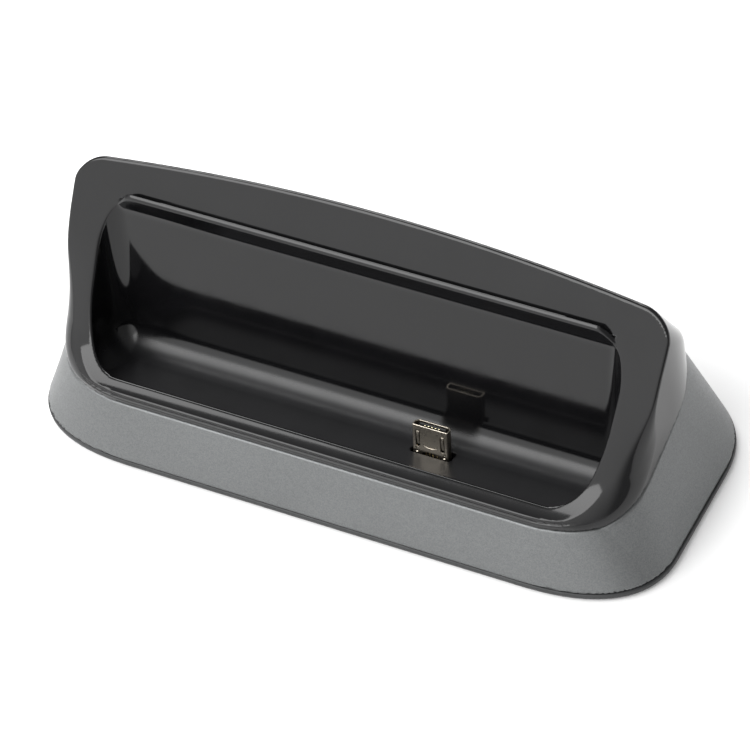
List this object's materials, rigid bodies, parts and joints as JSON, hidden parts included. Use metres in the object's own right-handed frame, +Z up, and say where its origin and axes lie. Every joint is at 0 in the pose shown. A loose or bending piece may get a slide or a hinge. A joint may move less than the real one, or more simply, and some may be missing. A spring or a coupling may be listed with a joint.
{
  "type": "desktop charging dock",
  "caption": "Low black desktop charging dock with a landscape phone slot, an arched backrest, a metallic grey band and a sprung Micro-B plug.",
  "frame": {"origin": "centre of the bounding box's bottom face, on the table", "axes": "+X along the dock to the user's right, +Y to the back, +Z up"},
  "size_m": [0.122, 0.05, 0.0446],
  "materials": {
    "gloss_black_shell": "gloss",
    "grey_band_paint": "satin metallic",
    "dark_base_plastic": "matte",
    "foot_rubber": "matte",
    "board_laminate": "satin",
    "black_moulding": "matte",
    "inductor_body": "matte",
    "capacitor_ceramic": "satin",
    "connector_nylon": "satin",
    "cable_film": "satin",
    "contact_gold": "polished",
    "plug_nickel": "satin",
    "ballast_steel": "satin",
    "screw_steel": "satin"
  },
  "bodies": {
    "dock": {"cradle_shell": "gloss_black_shell", "housing_band": "grey_band_paint", "base_plate": "dark_base_plastic", "foot_front_left": "foot_rubber", "foot_front_right": "foot_rubber", "foot_back_left": "foot_rubber", "foot_back_right": "foot_rubber", "base_screw_1": "screw_steel", "base_screw_2": "screw_steel", "base_screw_3": "screw_steel", "base_screw_4": "screw_steel", "main_board": "board_laminate", "board_screw_1": "screw_steel", "board_screw_2": "screw_steel", "charge_ic": "black_moulding", "supervisor_ic": "black_moulding", "power_inductor": "inductor_body", "input_capacitor": "capacitor_ceramic", "output_capacitor": "capacitor_ceramic", "board_connector": "connector_nylon", "input_socket_shell": "plug_nickel", "input_socket_tongue": "black_moulding", "ballast_plate": "ballast_steel", "ballast_screw_1": "screw_steel", "ballast_screw_2": "screw_steel", "carrier_bracket": "screw_steel", "bracket_screw_1": "screw_steel", "bracket_screw_2": "screw_steel", "carrier_pivot_pin": "screw_steel", "carrier_spring_left": "screw_steel", "carrier_spring_right": "screw_steel", "ribbon_cable": "cable_film"},
    "plug_rocker": {"plug_carrier": "black_moulding", "plug_board": "board_laminate", "plug_shell": "plug_nickel", "plug_tongue": "black_moulding", "plug_contact_1": "contact_gold", "plug_contact_2": "contact_gold", "plug_contact_3": "contact_gold", "plug_contact_4": "contact_gold", "plug_contact_5": "contact_gold"},
    "latch_left": {"plug_latch_left": "plug_nickel"},
    "latch_right": {"plug_latch_right": "plug_nickel"}
  },
  "joints": [
    {"name": "plug_rock", "type": "hinge", "parent": "dock", "child": "plug_rocker", "pos_m": [0.016, -0.01154, 0.00617], "axis": [1, 0, 0], "range_deg": [-4, 4], "stiffness_Nm_per_rad": 0.01},
    {"name": "latch_left_press", "type": "slide", "parent": "plug_rocker", "child": "latch_left", "axis": [0, 0.9588, -0.284], "range_m": [0, 0.0003], "stiffness_N_per_m": 100},
    {"name": "latch_right_press", "type": "slide", "parent": "plug_rocker", "child": "latch_right", "axis": [0, 0.9588, -0.284], "range_m": [0, 0.0003], "stiffness_N_per_m": 100}
  ]
}
